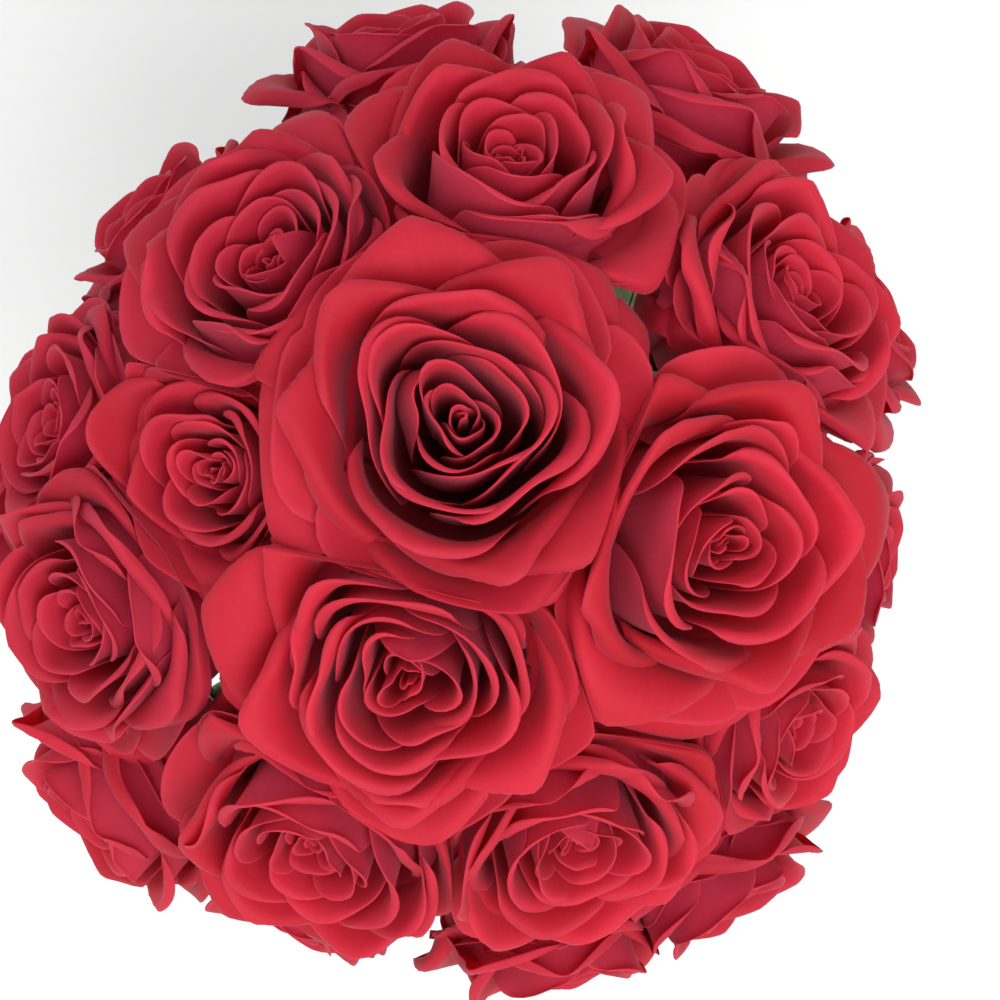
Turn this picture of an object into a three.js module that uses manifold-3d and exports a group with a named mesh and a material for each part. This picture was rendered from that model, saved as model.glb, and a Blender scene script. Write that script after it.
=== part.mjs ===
// A domed posy of red roses standing in a plain straight glass vase.
// Millimetres, +Z up. The origin is the middle of the vase's foot, on the surface it stands on.
//
// Every rose head looks out from one point, the focus, so the heads make a dome. Each head keeps
// to its own cell of that dome, so neighbours press on each other and never pass through. The
// stems lean in one spiral: each runs straight from the vase's floor to its mouth, crosses the
// others without touching them, and then bends out to its own head.
import * as THREE from "three";
import { mergeVertices } from "three/addons/utils/BufferGeometryUtils.js";
import Module from "manifold-3d";

const wasm = await Module();
wasm.setup();

// ---- Driving dimensions, mm and degrees ----
const CLEARANCE = 0.3; // between pieces that rest on or press against each other

const VASE_HEIGHT = 190;
const VASE_RADIUS = 56; // outside
const VASE_WALL = 4;
const VASE_FLOOR = 12; // the thick base of a blown cylinder
const VASE_FOOT_FILLET = 3;
const VASE_INNER_FILLET = 5;
const VASE_SIDES = 36;

const DOME_RISE = 62; // from the vase's mouth to the focus, the point that every head looks out from
const HEAD_DISTANCE = 78; // from the focus to the underside of a head

const STEM_RADIUS = 2.7;
const STEM_SIDES = 6;
const STEM_TWIST = 100; // turn of the bunch between the vase's floor and its mouth
const STEM_FLOOR_INSET = 2; // how far inside their place at the mouth the cut ends stand
const BEND_STEPS = 8;
const BEND_START = 0.3; // how long the bend keeps the lean of the straight run, as a share
const NECK_LENGTH = 22; // how long the neck follows the head's own direction

const HIP_RADIUS = 5;
const HIP_HEIGHT = 9;
const SEPAL_COUNT = 5;
const SEPAL_REACH = 13; // past the hip
const SEPAL_THICKNESS = 0.8;

const HEAD_HEIGHT = 50; // an open head of size 1, from its hip to its highest rim
const HEAD_RADIUS = 42;
const HEAD_SIDES = 15;
const HEAD_LOBES = 5; // petal tips round each whorl
const LOBE_DEPTH = 0.07;

const CELL_HINGE_RISE = 14; // past the undersides of the heads, where two neighbours part their cells
const CELL_SLANT = 13; // the most that a proud head leans over its neighbour
const CELL_PROUD = 6; // how much prouder a head stands before it leans over by that much
const CELL_SOFTNESS = 6; // depth over which petals give way before a neighbour
const CELL_REACH = 62; // heads whose directions are further apart, in degrees, don't meet

const LEAF_THICKNESS = 0.8;
const LEAF_CLEARANCE = 0.45; // from a stem, wider than the others because stems lean
const LEAF_DROOP = 0.0062; // fall per square millimetre of reach
const PETIOLE_LENGTH = 16;
const PETIOLE_WIDTH = 2;
const LEAFLET_LENGTH = 36;
const LEAFLET_WIDTH = 22;
const LEAFLET_SPREAD = 62; // between the end leaflet and each side leaflet
const LEAFLET_STEPS = 6;

// Where each head points: its azimuth and its angle from straight up, in degrees. Then how far
// it stands proud of the dome, and its size. Some hold a leaf, that high above the vase's mouth.
const ROSES = [
  { azimuth: 83, polar: 7, proud: 8, size: 1.06 },
  { azimuth: -10, polar: 27, proud: 6, size: 1.05 },
  { azimuth: -104, polar: 18.5, proud: 4, size: 1.03 },
  { azimuth: 80, polar: 37.5, proud: 3, size: 0.98 },
  { azimuth: 128, polar: 33, proud: 2, size: 0.93 },
  { azimuth: 31, polar: 47.5, proud: 1, size: 0.95 },
  { azimuth: 174, polar: 28, proud: -1, size: 0.76 },
  { azimuth: -162, polar: 47, proud: 1, size: 0.92 },
  { azimuth: 170, polar: 56, proud: -2, size: 0.82 },
  { azimuth: -112, polar: 44, proud: 1, size: 0.98 },
  { azimuth: -71, polar: 43.5, proud: 1, size: 0.92 },
  { azimuth: -34, polar: 54.5, proud: -1, size: 0.86, leaf: 58 },
  { azimuth: 98, polar: 71, proud: -3, size: 0.92, leaf: 34 },
  { azimuth: 138, polar: 69, proud: -8, size: 0.8, leaf: 14 },
  { azimuth: 60, polar: 72, proud: -1, size: 1, leaf: 10 },
  { azimuth: -8, polar: 76, proud: -9, size: 0.78, leaf: 18 },
  { azimuth: 25, polar: 78, proud: -4, size: 0.86, leaf: 38 },
  { azimuth: -56, polar: 75, proud: 1, size: 0.92, leaf: 42 },
  { azimuth: -139, polar: 72, proud: 1, size: 0.95, leaf: 14 },
  { azimuth: -78, polar: 77, proud: 2, size: 0.9, leaf: 22 },
  { azimuth: -113, polar: 77, proud: -4, size: 0.86, leaf: 46 },
  { azimuth: -177, polar: 78, proud: -4, size: 0.86, leaf: 38 },
];
const LOWEST_POLAR = Math.max(...ROSES.map((rose) => rose.polar));

// ---- Colours ----
const clearGlass = new THREE.MeshStandardMaterial({
  color: 0xdfeeea,
  roughness: 0.03,
  metalness: 0,
  transparent: true,
  opacity: 0.35,
});
const redPetal = new THREE.MeshStandardMaterial({ color: 0xa8141f, roughness: 0.55, metalness: 0 });
const greenStem = new THREE.MeshStandardMaterial({ color: 0x4d6b2c, roughness: 0.5, metalness: 0 });
const greenLeaf = new THREE.MeshStandardMaterial({ color: 0x2b4a22, roughness: 0.45, metalness: 0 });

// ---- Helpers ----
const radians = THREE.MathUtils.degToRad;
const UP = new THREE.Vector3(0, 0, 1);
const FOCUS = new THREE.Vector3(0, 0, VASE_HEIGHT + DOME_RISE);

// Azimuth is measured from +X towards +Y, and polar from straight up.
function polarDirection(azimuth, polar) {
  return new THREE.Vector3(
    Math.sin(radians(polar)) * Math.cos(radians(azimuth)),
    Math.sin(radians(polar)) * Math.sin(radians(azimuth)),
    Math.cos(radians(polar)),
  );
}

function closedSurface(geometry) {
  const bare = geometry.clone();
  bare.deleteAttribute("normal");
  bare.deleteAttribute("uv");
  return mergeVertices(bare, 1e-4);
}

function toSolid(geometry) {
  const bare = closedSurface(geometry);
  return new wasm.Manifold(
    new wasm.Mesh({
      numProp: 3,
      vertProperties: new Float32Array(bare.attributes.position.array),
      triVerts: new Uint32Array(bare.index.array),
    }),
  );
}

function joined(geometries) {
  const solid = geometries.map(toSolid).reduce((all, next) => all.add(next));
  const mesh = solid.getMesh();
  const geometry = new THREE.BufferGeometry();
  geometry.setAttribute("position", new THREE.BufferAttribute(mesh.vertProperties, 3));
  geometry.setIndex(new THREE.BufferAttribute(mesh.triVerts, 1));
  return geometry;
}

// Turned about Z from a list of [radius, height] pairs that starts and ends on the axis.
function turned(profile, sides) {
  const outline = profile.map(([radius, height]) => new THREE.Vector2(radius, height));
  return new THREE.LatheGeometry(outline, sides).rotateX(Math.PI / 2);
}

function arc(centreRadius, centreHeight, radius, fromDegrees, toDegrees, steps) {
  return Array.from({ length: steps + 1 }, (_, i) => {
    const angle = radians(fromDegrees + ((toDegrees - fromDegrees) * i) / steps);
    return [centreRadius + radius * Math.cos(angle), centreHeight + radius * Math.sin(angle)];
  });
}

function named(name, geometry, material) {
  const mesh = new THREE.Mesh(geometry, material);
  mesh.name = name;
  return mesh;
}

const twoDigits = (number) => String(number).padStart(2, "0");

// ---- Vase ----
function makeVase() {
  const inside = VASE_RADIUS - VASE_WALL;
  const lip = VASE_WALL / 2; // a fire-polished rim is a half round
  const profile = [
    [0, 0],
    ...arc(VASE_RADIUS - VASE_FOOT_FILLET, VASE_FOOT_FILLET, VASE_FOOT_FILLET, -90, 0, 3),
    ...arc(VASE_RADIUS - lip, VASE_HEIGHT - lip, lip, 0, 180, 4),
    ...arc(inside - VASE_INNER_FILLET, VASE_FLOOR + VASE_INNER_FILLET, VASE_INNER_FILLET, 0, -90, 3),
    [0, VASE_FLOOR],
  ];
  return named("vase", turned(profile, VASE_SIDES), clearGlass);
}

// ---- The dome's cells ----
// The plane between two heads: a point on it, and its normal, which points from a to b. It leans
// over the head that stands less proud.
function parting(a, b) {
  const share = a.size / (a.size + b.size);
  const between = a.axis.angleTo(b.axis);
  const middle = a.axis
    .clone()
    .multiplyScalar(Math.sin((1 - share) * between))
    .addScaledVector(b.axis, Math.sin(share * between))
    .normalize();
  const across = b.axis.clone().addScaledVector(middle, -b.axis.dot(middle)).normalize();
  const lean = THREE.MathUtils.clamp((a.proud - b.proud) / CELL_PROUD, -1, 1);
  const slant = radians(CELL_SLANT) * lean;
  return {
    point: FOCUS.clone().addScaledVector(middle, HEAD_DISTANCE + CELL_HINGE_RISE),
    normal: across.multiplyScalar(Math.cos(slant)).addScaledVector(middle, -Math.sin(slant)),
  };
}

// Moves a point back from every neighbour's cell. It gives way gently over CELL_SOFTNESS and
// always stays CLEARANCE / 2 short of the plane.
function keepInCell(point, rose) {
  for (const plane of rose.partings) {
    const past = point.clone().sub(plane.point).dot(plane.normal) + CLEARANCE / 2;
    const pressed = past + CELL_SOFTNESS;
    if (pressed > 0) {
      const held = -CELL_SOFTNESS * Math.exp(-pressed / CELL_SOFTNESS);
      point.addScaledVector(plane.normal, held - past);
    }
  }
  return point;
}

function layOutRoses() {
  const roses = ROSES.map((row, index) => ({
    ...row,
    number: twoDigits(index + 1),
    axis: polarDirection(row.azimuth, row.polar),
    spin: index * 137.5,
  }));
  for (const rose of roses) {
    const distance = HEAD_DISTANCE + rose.proud;
    rose.base = FOCUS.clone().addScaledVector(rose.axis, distance);
    rose.turn = new THREE.Quaternion()
      .setFromUnitVectors(UP, rose.axis)
      .multiply(new THREE.Quaternion().setFromAxisAngle(UP, radians(rose.spin)));
  }
  for (const rose of roses) {
    rose.partings = roses
      .filter((other) => other !== rose && rose.axis.angleTo(other.axis) < radians(CELL_REACH))
      .map((other) => parting(rose, other));
  }
  return roses;
}

// ---- Rose heads ----
// Rows of [radius, height, whorl] as shares of the head's radius and height. The rows of one
// whorl share the places of its petal tips.
const HEAD_ROWS = [
  [0, 0, 0],
  [0.2, 0.01, 0],
  [0.6, 0.24, 0],
  [0.84, 0.56, 1],
  [1, 0.8, 1],
  [0.84, 0.86, 1],
  [0.68, 0.84, 2],
  [0.58, 0.97, 2],
  [0.42, 0.9, 3],
  [0.3, 1, 3],
  [0.16, 0.8, 4],
  [0, 0.76, 4],
];

function makeHead(rose) {
  const radius = HEAD_RADIUS * rose.size;
  const height = HEAD_HEIGHT * rose.size;
  const lift = HIP_HEIGHT + CLEARANCE;
  const profile = HEAD_ROWS.map(([r, h]) => [r * radius, lift + h * height]);
  const geometry = turned(profile, HEAD_SIDES);
  const places = geometry.attributes.position;
  const toWorld = new THREE.Matrix4().compose(rose.base, rose.turn, new THREE.Vector3(1, 1, 1));
  const toHead = toWorld.clone().invert();
  const point = new THREE.Vector3();
  for (let i = 0; i < places.count; i++) {
    const whorl = HEAD_ROWS[i % HEAD_ROWS.length][2];
    const side = Math.floor(i / HEAD_ROWS.length) % HEAD_SIDES;
    const angle = (2 * Math.PI * side) / HEAD_SIDES;
    const lobe = 1 + LOBE_DEPTH * Math.cos(HEAD_LOBES * angle + whorl * 2.4) * Math.sign(whorl);
    point.fromBufferAttribute(places, i);
    point.set(point.x * lobe, point.y * lobe, point.z).applyMatrix4(toWorld);
    keepInCell(point, rose).applyMatrix4(toHead);
    places.setXYZ(i, point.x, point.y, point.z);
  }
  const head = named(`rose_head_${rose.number}`, closedSurface(geometry), redPetal);
  head.position.copy(rose.base);
  head.quaternion.copy(rose.turn);
  return head;
}

// ---- Stems with their calyx ----
// A straight run from the vase's floor to its mouth, then a bend that ends along the head's axis.
class StemLine extends THREE.Curve {
  constructor(rose) {
    super();
    const share = rose.polar / LOWEST_POLAR;
    const lean = Math.sin(radians(STEM_TWIST) / 2);
    const tilt = Math.atan((2 * VASE_RADIUS * share * lean) / (VASE_HEIGHT - VASE_FLOOR));
    const mouthReach = VASE_RADIUS - VASE_WALL - CLEARANCE - STEM_RADIUS / Math.cos(tilt);
    const floorReach = mouthReach - STEM_FLOOR_INSET;
    const floorHeight = VASE_FLOOR + CLEARANCE + STEM_RADIUS * Math.sin(tilt);
    const floorAzimuth = radians(rose.azimuth - STEM_TWIST);
    this.foot = new THREE.Vector3(
      floorReach * share * Math.cos(floorAzimuth),
      floorReach * share * Math.sin(floorAzimuth),
      floorHeight,
    );
    this.mouth = new THREE.Vector3(
      mouthReach * share * Math.cos(radians(rose.azimuth)),
      mouthReach * share * Math.sin(radians(rose.azimuth)),
      VASE_HEIGHT,
    );
    const run = this.mouth.clone().sub(this.foot).normalize();
    const rise = this.mouth.distanceTo(rose.base);
    this.bend = new THREE.CubicBezierCurve3(
      this.mouth,
      this.mouth.clone().addScaledVector(run, BEND_START * rise),
      rose.base.clone().addScaledVector(rose.axis, -NECK_LENGTH),
      rose.base,
    );
  }

  // The first step is the straight run, and the others share the bend.
  getPoint(t) {
    const straight = 1 / (BEND_STEPS + 1);
    if (t < straight) return this.foot.clone().lerp(this.mouth, t / straight);
    return this.bend.getPoint((t - straight) / (1 - straight));
  }

  getUtoTmapping(u) {
    return u;
  }
}

function makeCalyx(rose) {
  const sides = 2 * SEPAL_COUNT; // a sepal's tip, then the gap beside it
  const tipHeight = HIP_HEIGHT - 1;
  const rows = [
    [0, -2 * STEM_RADIUS, 0],
    [STEM_RADIUS + CLEARANCE, -2 * STEM_RADIUS, 0],
    [HIP_RADIUS, HIP_HEIGHT * 0.35, 0],
    [HIP_RADIUS * 0.85, tipHeight - SEPAL_THICKNESS, 1],
    [HIP_RADIUS * 0.85, tipHeight, 1],
    [HIP_RADIUS * 0.8, HIP_HEIGHT, 0],
    [0, HIP_HEIGHT, 0],
  ];
  const geometry = turned(rows.map(([radius, height]) => [radius, height]), sides);
  const places = geometry.attributes.position;
  const toWorld = new THREE.Matrix4().compose(rose.base, rose.turn, new THREE.Vector3(1, 1, 1));
  const point = new THREE.Vector3();
  for (let i = 0; i < places.count; i++) {
    const isSepal = rows[i % rows.length][2];
    const isTip = Math.floor(i / rows.length) % 2;
    point.fromBufferAttribute(places, i);
    if (isSepal && isTip) {
      const reach = 1 + SEPAL_REACH / (HIP_RADIUS * 0.85);
      point.set(point.x * reach, point.y * reach, point.z);
      keepInCell(point.applyMatrix4(toWorld), rose);
    } else {
      point.applyMatrix4(toWorld);
    }
    places.setXYZ(i, point.x, point.y, point.z);
  }
  return geometry;
}

function makeStem(rose) {
  const section = new THREE.Shape(
    Array.from({ length: STEM_SIDES }, (_, i) => {
      const angle = (2 * Math.PI * i) / STEM_SIDES;
      return new THREE.Vector2(STEM_RADIUS * Math.cos(angle), STEM_RADIUS * Math.sin(angle));
    }),
  );
  rose.line = new StemLine(rose);
  const tube = new THREE.ExtrudeGeometry(section, {
    steps: BEND_STEPS + 1,
    extrudePath: rose.line,
  });
  return named(`stem_${rose.number}`, joined([tube, makeCalyx(rose)]), greenStem);
}

// ---- Leaves ----
// One leaflet lies along +X from the origin, pointed at its tip.
function leaflet(length, width, turn, at) {
  const half = Array.from({ length: LEAFLET_STEPS - 1 }, (_, i) => {
    const along = (i + 1) / LEAFLET_STEPS;
    return [along * length, (width / 2) * Math.sin(Math.PI * Math.pow(along, 0.8))];
  });
  const outline = [
    [0, -PETIOLE_WIDTH / 2],
    ...half.map(([x, y]) => [x, -y]),
    [length, 0],
    ...half.reverse(),
    [0, PETIOLE_WIDTH / 2],
  ];
  const shape = new THREE.Shape(outline.map(([x, y]) => new THREE.Vector2(x, y)));
  return new THREE.ExtrudeGeometry(shape, { depth: LEAF_THICKNESS, bevelEnabled: false })
    .rotateZ(radians(turn))
    .translate(at, 0, 0);
}

function makeLeaf(rose) {
  const overlap = PETIOLE_WIDTH;
  const petiole = new THREE.BoxGeometry(
    PETIOLE_LENGTH + overlap,
    PETIOLE_WIDTH,
    LEAF_THICKNESS,
  ).translate((PETIOLE_LENGTH + overlap) / 2, 0, LEAF_THICKNESS / 2);
  const geometry = joined([
    petiole,
    leaflet(LEAFLET_LENGTH, LEAFLET_WIDTH, 0, PETIOLE_LENGTH),
    leaflet(LEAFLET_LENGTH * 0.8, LEAFLET_WIDTH * 0.8, LEAFLET_SPREAD, PETIOLE_LENGTH - 2),
    leaflet(LEAFLET_LENGTH * 0.8, LEAFLET_WIDTH * 0.8, -LEAFLET_SPREAD, PETIOLE_LENGTH - 2),
  ]);
  const places = geometry.attributes.position;
  for (let i = 0; i < places.count; i++) {
    places.setZ(i, places.getZ(i) - LEAF_DROOP * places.getX(i) ** 2);
  }
  const leaf = named(`leaf_${rose.number}`, geometry, greenLeaf);
  const joint = stemAtHeight(rose.line, VASE_HEIGHT + rose.leaf);
  const azimuth = Math.atan2(joint.y, joint.x);
  const away = STEM_RADIUS + LEAF_CLEARANCE;
  leaf.position.copy(joint);
  leaf.position.x += away * Math.cos(azimuth);
  leaf.position.y += away * Math.sin(azimuth);
  leaf.rotation.z = azimuth;
  return leaf;
}

function stemAtHeight(line, height) {
  let low = 0;
  let high = 1;
  for (let i = 0; i < 40; i++) {
    const middle = (low + high) / 2;
    if (line.getPoint(middle).z < height) low = middle;
    else high = middle;
  }
  return line.getPoint(low);
}

// ---- The whole piece ----
const rosesInVase = new THREE.Group();
rosesInVase.add(makeVase());
for (const rose of layOutRoses()) {
  rosesInVase.add(makeStem(rose));
  rosesInVase.add(makeHead(rose));
  if (rose.leaf) rosesInVase.add(makeLeaf(rose));
}

export default rosesInVase;
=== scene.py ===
# %% [markdown]
# # A dome of red roses in a glass vase
#
# A florist's posy is a pile of thin things: each bloom is some forty petals, each petal is a
# sheet half a millimetre thick, and what the eye reads is their rims. So this lesson builds
# sheets. A petal is first a flat shape with a rounded top, then its margin is rolled back, and
# then the sheet is wrapped round a cup. The same recipe, with a few numbers changed from the
# heart of the bloom to its guard petals, makes the whole flower.
#
# The vase, stems and leaves follow. Sizes are in metres, and the bunch is laid out by the same
# rules as in the CAD model: all blooms look out from one point, and each keeps to its own cell of
# the dome.

# %% Load the frame
import math

import bpy
import bmesh
import numpy as np
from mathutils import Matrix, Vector


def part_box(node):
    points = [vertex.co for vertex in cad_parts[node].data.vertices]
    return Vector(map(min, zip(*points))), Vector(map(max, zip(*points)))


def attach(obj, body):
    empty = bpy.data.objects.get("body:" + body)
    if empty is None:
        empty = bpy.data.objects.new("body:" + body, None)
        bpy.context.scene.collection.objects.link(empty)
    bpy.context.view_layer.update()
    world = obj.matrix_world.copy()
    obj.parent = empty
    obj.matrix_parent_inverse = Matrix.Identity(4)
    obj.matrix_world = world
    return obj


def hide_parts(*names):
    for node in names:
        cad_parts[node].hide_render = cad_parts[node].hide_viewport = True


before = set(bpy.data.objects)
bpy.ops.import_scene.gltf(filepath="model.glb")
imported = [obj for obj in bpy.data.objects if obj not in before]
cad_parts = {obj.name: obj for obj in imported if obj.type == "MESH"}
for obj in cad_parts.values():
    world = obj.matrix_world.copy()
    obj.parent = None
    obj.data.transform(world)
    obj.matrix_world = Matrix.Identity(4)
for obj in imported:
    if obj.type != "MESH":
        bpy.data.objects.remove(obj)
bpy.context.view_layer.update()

MM = 0.001
BODY = "root"

# %% [markdown]
# ## The bunch
#
# Each row is one rose: where it looks (azimuth from +X, angle from straight up), how far it
# stands proud of the dome, its size beside the usual one, and how high above the vase's mouth its
# stem holds a leaf, if it does. The last three numbers are for its petals: how far it has opened,
# the radius of the hollow round its heart, and its age, because an older bloom turns duller and
# pinker. Lengths are in millimetres and angles in degrees.

# %% Where each rose looks
ROSES = [
    # azimuth, polar, proud, size, leaf, opening, hollow, age
    (83, 7, 8, 1.06, 0, 0.55, 12.0, 0.3),
    (-10, 27, 6, 1.05, 0, 0.75, 7.0, 0.0),
    (-104, 18.5, 4, 1.03, 0, 0.7, 11.5, 0.1),
    (80, 37.5, 3, 0.98, 0, 0.6, 8.0, 0.4),
    (128, 33, 2, 0.93, 0, 0.5, 9.0, 0.8),
    (31, 47.5, 1, 0.95, 0, 0.6, 8.0, 0.3),
    (174, 28, -1, 0.76, 0, 0.45, 7.0, 0.4),
    (-162, 47, 1, 0.92, 0, 0.6, 7.5, 0.7),
    (170, 56, -2, 0.82, 0, 0.5, 7.5, 0.9),
    (-112, 44, 1, 0.98, 0, 0.65, 8.0, 0.2),
    (-71, 43.5, 1, 0.92, 0, 0.6, 10.0, 0.0),
    (-34, 54.5, -1, 0.86, 58, 0.6, 8.0, 0.1),
    (98, 71, -3, 0.92, 34, 0.7, 8.0, 0.9),
    (138, 69, -8, 0.8, 14, 0.55, 8.0, 0.9),
    (60, 72, -1, 1.0, 10, 0.65, 8.5, 0.6),
    (-8, 76, -9, 0.78, 18, 0.6, 7.5, 0.6),
    (25, 78, -4, 0.86, 38, 0.55, 8.0, 0.4),
    (-56, 75, 1, 0.92, 42, 0.7, 8.0, 0.5),
    (-139, 72, 1, 0.95, 14, 0.8, 8.0, 0.2),
    (-78, 77, 2, 0.9, 22, 0.6, 9.0, 0.3),
    (-113, 77, -4, 0.86, 46, 0.55, 8.0, 0.5),
    (-177, 78, -4, 0.86, 38, 0.6, 8.0, 0.8),
]
LOWEST_POLAR = max(row[1] for row in ROSES)

VASE_HEIGHT = 190 * MM
DOME_RISE = 62 * MM  # from the vase's mouth to the focus, the point every bloom looks out from
FOCUS = np.array([0, 0, VASE_HEIGHT + DOME_RISE])
HEAD_DISTANCE = 78 * MM
HEAD_HEIGHT = 50 * MM
HIP_HEIGHT = 9 * MM
CLEARANCE = 0.3 * MM
GOLDEN_ANGLE = 137.5
EDGE_POLAR = 62  # a bloom that looks lower than this has no neighbour beneath it
EDGE_BLEND = 18  # degrees above that, and a bloom has neighbours all round


def direction(azimuth, polar):
    a, p = math.radians(azimuth), math.radians(polar)
    return np.array([math.sin(p) * math.cos(a), math.sin(p) * math.sin(a), math.cos(p)])


def turn_to(axis, spin):
    """The rotation that spins about +Z and then takes +Z to axis by the shortest way."""
    c, s = math.cos(math.radians(spin)), math.sin(math.radians(spin))
    spun = np.array([[c, -s, 0], [s, c, 0], [0, 0, 1]])
    v = np.cross([0, 0, 1], axis)
    cross = np.array([[0, -v[2], v[1]], [v[2], 0, -v[0]], [-v[1], v[0], 0]])
    return (np.eye(3) + cross + cross @ cross / (1 + axis[2])) @ spun


class Rose:
    def __init__(self, index, row):
        azimuth, polar, proud, self.size, self.leaf_rise, self.opening, hollow, self.age = row
        self.name = f"{index + 1:02d}"
        self.seed = index + 1
        self.azimuth, self.polar, self.proud = azimuth, polar, proud * MM
        self.hollow = hollow
        self.axis = direction(azimuth, polar)
        self.base = FOCUS + self.axis * (HEAD_DISTANCE + self.proud)
        self.turn = turn_to(self.axis, index * GOLDEN_ANGLE)
        self.pressed = np.clip((EDGE_POLAR - polar) / EDGE_BLEND, 0, 1)

    def to_world(self, points):
        return points @ self.turn.T + self.base


roses = [Rose(i, row) for i, row in enumerate(ROSES)]
print("bunch:", len(roses), "roses,", sum(1 for r in roses if r.leaf_rise), "with a leaf")

# %% [markdown]
# ## Room for each bloom
#
# Roses packed in a dome press on each other: their guard petals flatten where they meet. A plane
# stands between each two neighbours, tilted so that the prouder bloom lies over the other. A
# point that nears a plane gives way gently, and gets at most a millimetre or so past it: soft
# petals press into each other that far, and leave no gap to see through.

# %% Planes between neighbours
CELL_HINGE = HEAD_DISTANCE + 14 * MM
CELL_SLANT = math.radians(13)
CELL_PROUD = 6 * MM
CELL_SOFTNESS = 5 * MM
CELL_PRESS = 1.2 * MM  # how far soft petals press past the plane
CELL_REACH = math.radians(62)


def angle_between(a, b):
    return math.acos(np.clip(a @ b, -1, 1))


def parting(a, b):
    """A point on the plane between two roses, and its normal, from a to b."""
    share = a.size / (a.size + b.size)
    between = angle_between(a.axis, b.axis)
    middle = a.axis * math.sin((1 - share) * between) + b.axis * math.sin(share * between)
    middle /= np.linalg.norm(middle)
    across = b.axis - middle * (b.axis @ middle)
    across /= np.linalg.norm(across)
    slant = CELL_SLANT * np.clip((a.proud - b.proud) / CELL_PROUD, -1, 1)
    return FOCUS + middle * CELL_HINGE, across * math.cos(slant) - middle * math.sin(slant)


for rose in roses:
    near = [o for o in roses if o is not rose and angle_between(rose.axis, o.axis) < CELL_REACH]
    rose.partings = [parting(rose, other) for other in near]


def keep_in_cell(points, rose):
    for place, normal in rose.partings:
        past = (points - place) @ normal - CELL_PRESS
        pressed = past + CELL_SOFTNESS
        held = -CELL_SOFTNESS * np.exp(-np.maximum(pressed, 0) / CELL_SOFTNESS)
        points = points + np.where(pressed > 0, held - past, 0)[:, None] * normal
    return points


print("cells:", sum(len(r.partings) for r in roses) // 2, "planes between neighbours")

# %% [markdown]
# ## The camera
#
# The posy is seen from straight above, a little to one side of its middle. The lens is 22 degrees
# wide, and the camera hangs at the height where the dome nearly fills the frame.

# %% Hang the camera over the dome
VIEW_ANGLE = math.radians(22)
DOME_SHARE = 0.944  # of the picture's width
CENTRE_SHARE = (-0.05, -0.005)  # from the picture's middle to the dome's, in picture widths

head_boxes = [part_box(f"rose_head_{rose.name}") for rose in roses]
dome_low = np.min([list(low) for low, high in head_boxes], axis=0)
dome_high = np.max([list(high) for low, high in head_boxes], axis=0)
dome_middle = (dome_low + dome_high) / 2
dome_width = (dome_high - dome_low)[:2].mean()
picture_width = dome_width / DOME_SHARE
distance = picture_width / 2 / math.tan(VIEW_ANGLE / 2)

camera_data = bpy.data.cameras.new("camera")
camera_data.angle = VIEW_ANGLE
camera = bpy.data.objects.new("camera", camera_data)
camera.location = (
    dome_middle[0] - CENTRE_SHARE[0] * picture_width,
    dome_middle[1] - CENTRE_SHARE[1] * picture_width,
    FOCUS[2] + distance,
)
bpy.context.collection.objects.link(camera)
bpy.context.scene.camera = camera
print("camera:", round(distance, 3), "m above the point that the blooms look out from")

# %% [markdown]
# ## Node helpers
#
# Materials are built in code, so two short helpers keep them readable: one adds a node and sets
# its values, and one links an output to an input.


# %% Add and link nodes
def add(tree, kind, values=None, **settings):
    node = tree.nodes.new(kind)
    for name, value in settings.items():
        setattr(node, name, value)
    for key, value in (values or {}).items():
        if isinstance(value, bpy.types.NodeSocket):
            tree.links.new(value, node.inputs[key])
        else:
            node.inputs[key].default_value = value
    return node


def new_material(name):
    material = bpy.data.materials.new(name)
    material.use_nodes = True
    tree = material.node_tree
    tree.nodes.clear()
    return material, tree


def mix_colour(tree, factor, a, b):
    return add(tree, "ShaderNodeMix", {0: factor, 6: a, 7: b}, data_type="RGBA").outputs[2]


def maths(tree, operation, *values):
    numbers = dict(enumerate(values))
    return add(tree, "ShaderNodeMath", numbers, operation=operation).outputs[0]


def ramp(tree, factor, low, high):
    """0 below low, 1 above high, and smooth between."""
    values = {"Value": factor, "From Min": low, "From Max": high}
    return add(tree, "ShaderNodeMapRange", values, interpolation_type="SMOOTHSTEP").outputs[0]


def rgb(red, green, blue):
    """A colour from its usual 0 to 255 numbers."""
    return tuple(
        (c / 255 / 12.92) if c / 255 <= 0.04045 else ((c / 255 + 0.055) / 1.055) ** 2.4
        for c in (red, green, blue)
    ) + (1,)


# %% [markdown]
# ## Streaks that every part of the plant shares
#
# Petals, leaves and stems grow lengthwise, and the cells leave fine streaks that run the same
# way, with a cloudy unevenness over them. One node group makes both from a vector whose second
# number runs along the part. It gives out a mask for the colour and a height for the bump.


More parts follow.
